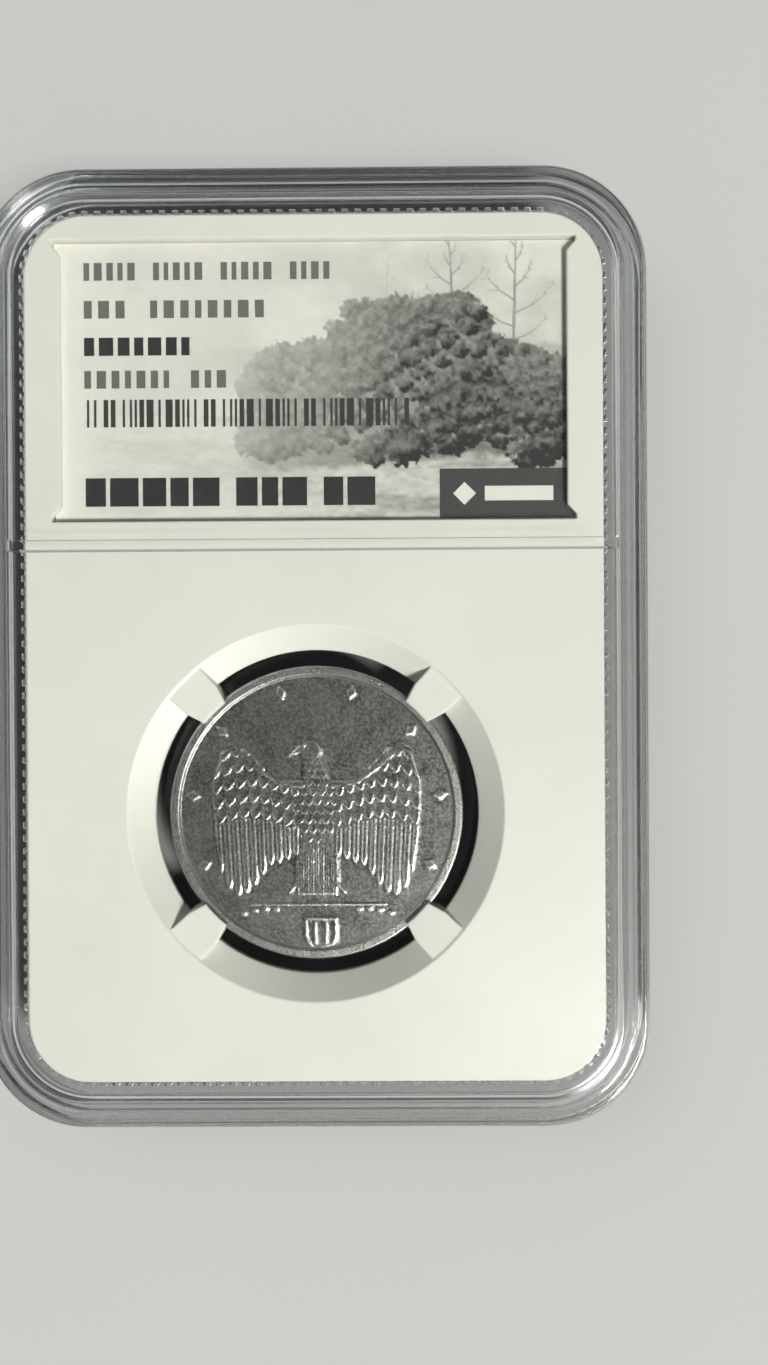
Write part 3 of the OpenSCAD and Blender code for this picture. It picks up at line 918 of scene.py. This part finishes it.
def bare_tree(u, v, foot, top, spread):
    """A leafless tree of thin tapered bars: a trunk, and branches that leave it to the left and right
    by turns. Each branch bends upwards in three lengths and carries three twigs at every joint. Places
    are complex numbers."""
    segments = [(foot, top, 0.0040, 0.0010)]
    for k in range(10):
        share = 0.16 + 0.085 * k
        side = 1 if k % 2 else -1
        place = foot + (top - foot) * share
        way = np.exp(1j * (np.pi / 2 - side * np.radians(66 - 3 * k + 9 * np.sin(7.0 * k))))
        reach = spread * (1.1 - share) * (0.36 + 0.1 * np.sin(5.0 * k))
        for j in range(3):
            end = place + reach * way
            segments.append((place, end, 0.0019 - 0.0005 * j, 0.0014 - 0.0005 * j))
            for turn, part in ((0.66, 0.7), (-0.6, 0.55), (0.2, 0.5)):
                twig = part * reach * way * np.exp(1j * side * turn)
                segments.append((end, end + twig, 0.0008, 0.0003))
            place, way, reach = end, way * np.exp(0.24j * side), 0.8 * reach
    ends = [((a.real, a.imag), (b.real, b.imag), wide, thin) for a, b, wide, thin in segments]
    return ease(-0.0012, 0.0012, np.maximum.reduce([bar_between(u, v, *end) for end in ends]))


def leafy_clump(u, v, shade):
    """Paints a clump of leafy bushes and trees over a grey picture: round crowns with uneven edges,
    light on top and dark below, from the furthest and highest to the nearest and lowest."""
    crowns, highest = 150, 26  # all the crowns, and how many stand along the clump's upper edge
    leaf = layered_mottle(u, v, 0.010, 71.0, 3)
    places = [0.36, 0.42, 0.52, 0.57, 0.80, 0.85, 1.0]
    heights = [0.27, 0.34, 0.355, 0.43, 0.44, 0.36, 0.31]
    solid = ease(-0.003, 0.003, np.interp(u, places, heights) - 0.03 - v)
    solid = solid * ease(0.13, 0.15, v) * ease(0.35, 0.4, u)
    shade = shade + (0.72 + 0.4 * (leaf - 0.5) - shade) * solid
    for i in range(crowns):
        share = max(0.0, (i - highest) / (crowns - highest))
        across = 0.37 + 0.64 * ((i * GOLDEN) % 1.0)
        wide = 0.015 + 0.022 * ((i * OTHER_STEP) % 1.0)
        up = np.interp(across, places, heights) * (1 - share) + 0.155 * share - wide
        off = np.hypot(u - across, (v - up) * 1.1)
        edge = wide * (0.55 + 0.95 * leaf) - off
        lit = np.clip(((v - up) - 0.4 * (u - across)) / wide, -1.0, 1.0)
        tone = 0.82 - 0.15 * lit + 0.5 * (leaf - 0.5) + 0.14 * share
        shade = shade + (tone - shade) * ease(-0.001, 0.003, edge)
    return shade


def landscape_print(u, v):
    """A grey winter landscape that fades out to the left: cloudy sky, a far wood, three bare trees, a
    leafy clump with its shadow, and rough ground. u and v run across and up the card, in shares of its
    width."""
    sky = 0.05 + 0.2 * ease(0.35, 0.75, layered_mottle(u, v * 1.6, 0.16, 21.0))
    rough = layered_mottle(u, v * 2.2, 0.014, 31.0, 4)
    grass = 0.06 + 0.42 * rough + 0.26 * ease(0.45, 0.7, layered_mottle(u * 0.4, v * 2, 0.07, 33.0))
    far = 0.315 + 0.03 * layered_mottle(u, 0 * v, 0.03, 39.0, 4)
    shade = np.where(v > 0.2, sky + 0.16 * ease(-0.003, 0.003, far - v), grass)
    middle_tree = bare_tree(u, v, 0.772 + 0.34j, 0.762 + 0.56j, 0.1)
    right_tree = bare_tree(u, v, 0.884 + 0.27j, 0.892 + 0.57j, 0.13)
    far_tree = 0.5 * bare_tree(u, v, 0.64 + 0.36j, 0.645 + 0.51j, 0.07)
    shade = np.maximum(shade, 0.6 * np.maximum.reduce([middle_tree, right_tree, far_tree]))
    shadow_edge = 0.098 + 0.014 * np.sin(u * 8.0 + 1.0) + 0.02 * layered_mottle(u, v, 0.02, 43.0)
    shadow = ease(-0.006, 0.012, v - shadow_edge) * ease(0.24, 0.2, v) * ease(0.34, 0.46, u)
    shade = leafy_clump(u, v, shade + (0.8 + 0.35 * (rough - 0.5) - shade) * shadow)
    faded = 0.36 * ease(0.0, 0.15, u) + 0.3 * ease(0.3, 0.45, u) + 0.34 * ease(0.45, 0.75, u)
    return np.clip(shade * faded + 0.05 * layered_mottle(u, v, 0.05, 61.0), 0.0, 1.0)


def plain_print(u, v):
    """The faint tone of unprinted card."""
    return 0.02 + 0.03 * layered_mottle(u, v, 0.05, 61.0)


def front_rows():
    """The front card's print over its picture: blocks in place of words and title, a striped code, and
    a dark corner block with a plain lozenge and bar."""
    return np.vstack(
        [
            letter_bars(0.057, 0.532, (5, 5, 5, 4), 0.464, 0.498, 0.84, 0.55),
            letter_bars(0.057, 0.405, (3, 8), 0.391, 0.425, 0.84, 0.55),
            letter_bars(0.057, 0.261, (7,), 0.319, 0.354, 1.0, 0.3),
            letter_bars(0.057, 0.331, (7, 3), 0.256, 0.290, 0.85, 0.55),
            stripe_code(0.057, 0.684, 0.181, 0.234, 0.98),
            letter_bars(0.058, 0.618, (5, 3, 2), 0.028, 0.083, 1.0, 0.14),
            bars(0.742, 0.256, 0.002, 0.097, 0.965),
            bars(0.768, 0.044, 0.027, 0.071, 0.05, 1.0),
            bars(0.829, 0.132, 0.035, 0.063, 0.05),
        ]
    )


def rear_rows(tall):
    """The rear card's print: a thin frame, and rows of small blocks above and below the seal."""
    return np.vstack(
        [
            bars((0.025, 0.971), 0.004, 0.025, tall - 0.025, 0.55),
            bars(0.029, 0.942, 0.025, 0.029, 0.55),
            bars(0.029, 0.942, tall - 0.029, tall - 0.025, 0.55),
            letter_bars(0.31, 0.69, (6, 4, 7), tall - 0.083, tall - 0.063, 0.66),
            letter_bars(0.37, 0.63, (5, 6), tall - 0.117, tall - 0.101, 0.6),
            letter_bars(0.28, 0.72, (4, 8, 6), 0.095, 0.111, 0.6),
            letter_bars(0.34, 0.66, (7, 6), 0.062, 0.078, 0.6),
        ]
    )


def ink_film(low, high, rows, up):
    """A film of flat four-sided marks on a card's printed face: points, faces and ink. Each mark is a
    very thin block sunk half into the card, and each later row stands a hair prouder. A skew of 1 turns
    a mark into a lozenge."""
    left, right, under, over, ink, skew = rows.T
    middle_u, middle_v = (left + right) / 2, (under + over) / 2
    u = np.stack([left, right, right, left], 1)
    v = np.stack([under, under, over, over], 1)
    u = u + (np.stack([middle_u, right, middle_u, left], 1) - u) * skew[:, None]
    v = v + (np.stack([under, middle_v, over, middle_v], 1) - v) * skew[:, None]
    wide = high.x - low.x
    x = low.x + (u if up else 1.0 - u) * wide
    y = low.y + v * wide
    face, way = (high.z, 1.0) if up else (low.z, -1.0)
    rise = np.broadcast_to((0.006 + 0.00003 * np.arange(len(rows))[:, None]) * MM, x.shape)
    sink = np.full_like(x, 0.004 * MM)
    top, foot = np.stack([x, y, face + way * rise], -1), np.stack([x, y, face - way * sink], -1)
    points = np.concatenate([top, foot], 1).reshape(-1, 3)
    block = np.array([[0, 1, 2, 3], [7, 6, 5, 4], [1, 0, 4, 5], [2, 1, 5, 6], [3, 2, 6, 7], [0, 3, 7, 4]])
    quads = (np.arange(len(rows))[:, None, None] * 8 + block).reshape(-1, 4)
    return points, quads, np.repeat(ink, 8)


def flat_sheet(low, high, step, up, print_on, lift=0.0):
    """A thin sheet whose printed face is a grid over the box: points, faces, panels and the ink at each
    point. The grid's rim drops straight to a single flat panel on the other face. up says which way the
    printed face looks, and lift how far the face is pressed in where there is no ink."""
    wide, tall = high.x - low.x, high.y - low.y
    across = np.linspace(0, 1, int(wide / step) + 1)
    along = np.linspace(0, 1, int(tall / step) + 1)
    u, v = np.meshgrid(across, along * tall / wide)
    ink = print_on(u if up else 1 - u, v)
    face_z, far_z = (high.z, low.z) if up else (low.z, high.z)
    grid = [low.x + u * wide, low.y + v * wide, face_z + lift * (1 - ink)]
    top = np.stack(grid, -1).reshape(-1, 3)
    rows, columns = u.shape
    index = np.arange(rows * columns).reshape(rows, columns)
    rim = np.concatenate([index[0], index[1:, -1], index[-1, -2::-1], index[-2:0:-1, 0]])
    foot = top[rim].copy()
    foot[:, 2] = far_z
    low_rim = rows * columns + np.arange(len(rim))
    skirt = np.stack([rim, low_rim, np.roll(low_rim, -1), np.roll(rim, -1)], 1)
    quads = np.vstack([grid_quads(rows, columns, False)[:, ::-1], skirt])
    panel = low_rim[::-1]
    if not up:
        quads, panel = quads[:, ::-1], panel[::-1]
    return np.vstack([top, foot]), quads, [panel], np.concatenate([ink.ravel(), np.zeros(len(rim))])


class SLAB_OT_build_cards(bpy.types.Operator):
    """Builds the two printed cards"""

    bl_idname = "slab.build_cards"
    bl_label = "Build Printed Cards"

    def execute(self, context):
        card = printed_card("Printed card", context.scene.slab_finish)
        low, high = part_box("front_label")
        tall = (high.y - low.y) / (high.x - low.x)
        jobs = (
            ("front_label", landscape_print, front_rows(), True, 0.11 * MM),
            ("rear_label", plain_print, rear_rows(tall), False, 0.5 * MM),
        )
        for node, print_on, rows, up, step in jobs:
            low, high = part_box(node)
            points, quads, panels, ink = flat_sheet(low, high, step, up, print_on)
            sheet = make_piece("printed_" + node, points, quads, panels, [card], values={"ink": ink})
            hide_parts(node)
            points, quads, ink = ink_film(low, high, rows, up)
            film = make_piece(node + "_ink", points, quads, [], [card], values={"ink": ink}, weld=False)
        return {"FINISHED"}


def seal_emboss(u, v):
    """Rings and a plain star pressed into the seal, from 0 in the grooves to 1 on the flats."""
    out = np.hypot(u - 0.5, v - v.max() / 2)
    around = np.arctan2(v - v.max() / 2, u - 0.5)
    rings = 0.5 + 0.5 * np.cos(out * 180.0 + 2.0 * np.cos(12 * around))
    star = ease(0.0, 0.02, 0.1 * (0.7 + 0.3 * np.cos(6 * around)) - out)
    return np.clip(0.4 + 0.6 * np.maximum(rings * (out > 0.12), star), 0, 1)


class SLAB_OT_build_seal(bpy.types.Operator):
    """Builds the embossed foil seal on the rear card"""

    bl_idname = "slab.build_seal"
    bl_label = "Build Foil Seal"

    def execute(self, context):
        low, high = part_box("security_foil")
        points, quads, panels, shade = flat_sheet(low, high, 0.12 * MM, False, seal_emboss, 0.03 * MM)
        finish = seal_foil(context.scene.slab_finish)
        piece = make_piece("foil_seal", points, quads, panels, [finish], values={"emboss": shade})
        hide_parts("security_foil")
        return {"FINISHED"}


# ---------------------------------------------------------------- stage


# Each lamp's name, place, width, power in watts and colour.
LAMPS = (
    ("window_light", (0.91, -1.00, 1.73), 0.55, 75.0, (1.0, 0.985, 0.955)),
    ("fill_light", (-0.8, 0.7, 0.9), 1.0, 6.0, (0.96, 0.98, 1.0)),
)
CAMERA_PLACE = (6.8 * MM, -2.7 * MM, 99.4 * MM)
CAMERA_TURN = (-0.26, 0.36, -0.35)  # degrees about X, Y and Z from looking straight down
CAMERA_LENS = 27.3  # millimetres


def lamp(name, place, aim, size, power, tone):
    """A soft square lamp at a place, turned towards its aim."""
    data = bpy.data.lights.new(name, "AREA")
    data.size, data.energy, data.color = size, power, tone
    light = bpy.data.objects.new(name, data)
    bpy.context.scene.collection.objects.link(light)
    light.location = place
    away = light.location - aim
    light.rotation_euler = away.to_track_quat("Z", "Y").to_euler()


def studio_sky(scene):
    """A pale sky that is dim overhead and brighter towards the horizon."""
    world = bpy.data.worlds.new("Studio sky")
    scene.world = world
    world.use_nodes = True
    tree = world.node_tree
    tree.nodes.clear()
    way = add(tree, "ShaderNodeTexCoord").outputs["Generated"]
    up = add(tree, "ShaderNodeSeparateXYZ", Vector=way).outputs["Z"]
    ramp = add(tree, "ShaderNodeValToRGB", Fac=up)
    ramp.color_ramp.elements[0].position = 0.15
    ramp.color_ramp.elements[0].color = (0.95, 0.95, 0.94, 1.0)
    ramp.color_ramp.elements[1].position = 0.95
    ramp.color_ramp.elements[1].color = (0.16, 0.165, 0.175, 1.0)
    sky = add(tree, "ShaderNodeBackground", Color=ramp.outputs["Color"], Strength=0.36)
    output = tree.nodes.new("ShaderNodeOutputWorld")
    tree.links.new(sky.outputs[0], output.inputs["Surface"])


class SLAB_OT_build_stage(bpy.types.Operator):
    """Builds the floor, the lamps, the sky and the camera"""

    bl_idname = "slab.build_stage"
    bl_label = "Build Studio"

    def execute(self, context):
        scene = context.scene
        low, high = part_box("back_shell")
        middle = (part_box("core")[0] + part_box("core")[1]) / 2
        reach = 20 * (high.y - low.y)
        cells = np.linspace(-reach, reach, 9)
        x, y = np.meshgrid(cells, cells)
        points = np.stack([x, y, np.full_like(x, -HAIRLINE)], -1).reshape(-1, 3)
        quads = grid_quads(len(cells), len(cells), False)[:, ::-1]
        mesh = bpy.data.meshes.new("studio_floor")
        mesh.from_pydata(points.tolist(), [], quads.tolist())
        mesh.materials.append(floor_finish(scene.slab_finish))
        floor = bpy.data.objects.new("studio_floor", mesh)
        scene.collection.objects.link(floor)

        studio_sky(scene)
        for name, place, size, power, tone in LAMPS:
            lamp(name, place, middle, size, power, tone)
        scene.cycles.max_bounces = 20
        scene.cycles.transmission_bounces = 20
        scene.cycles.transparent_max_bounces = 48
        scene.cycles.caustics_refractive = False
        scene.cycles.caustics_reflective = False

        camera_data = bpy.data.cameras.new("camera")
        camera = bpy.data.objects.new("camera", camera_data)
        scene.collection.objects.link(camera)
        camera_data.lens = CAMERA_LENS
        camera_data.clip_start, camera_data.clip_end = 0.005, 5.0
        camera.location = CAMERA_PLACE
        camera.rotation_euler = tuple(np.radians(CAMERA_TURN))
        scene.camera = camera
        scene.view_settings.view_transform = "Standard"
        return {"FINISHED"}


# ---------------------------------------------------------------- panel and start


class SLAB_PT_panel(bpy.types.Panel):
    """The slab's settings and build buttons"""

    bl_label = "Coin Slab"
    bl_idname = "SLAB_PT_panel"
    bl_space_type = "VIEW_3D"
    bl_region_type = "UI"
    bl_category = "Coin Slab"

    def draw(self, context):
        for settings in (context.scene.slab_shell, context.scene.slab_coin, context.scene.slab_finish):
            box = self.layout.box()
            for key in settings.__annotations__:
                box.prop(settings, key)
        for operator in OPERATORS:
            self.layout.operator(operator.bl_idname)


SETTINGS = (SlabShellSettings, SlabCoinSettings, SlabFinishSettings)
OPERATORS = (
    SLAB_OT_build_shells,
    SLAB_OT_build_core,
    SLAB_OT_build_coin,
    SLAB_OT_build_cards,
    SLAB_OT_build_seal,
    SLAB_OT_build_stage,
)


def register():
    """Registers the classes and puts the settings on the scene."""
    for part in (*SETTINGS, *OPERATORS, SLAB_PT_panel):
        bpy.utils.register_class(part)
    bpy.types.Scene.slab_shell = PointerProperty(type=SlabShellSettings)
    bpy.types.Scene.slab_coin = PointerProperty(type=SlabCoinSettings)
    bpy.types.Scene.slab_finish = PointerProperty(type=SlabFinishSettings)


def unregister():
    """Takes the settings and the classes away again."""
    del bpy.types.Scene.slab_shell
    del bpy.types.Scene.slab_coin
    del bpy.types.Scene.slab_finish
    for part in reversed((*SETTINGS, *OPERATORS, SLAB_PT_panel)):
        bpy.utils.unregister_class(part)


def main():
    """Builds the slab and the studio."""
    register()
    bpy.ops.slab.build_shells()
    bpy.ops.slab.build_core()
    bpy.ops.slab.build_coin()
    bpy.ops.slab.build_cards()
    bpy.ops.slab.build_seal()
    bpy.ops.slab.build_stage()


if __name__ == "__main__":
    main()
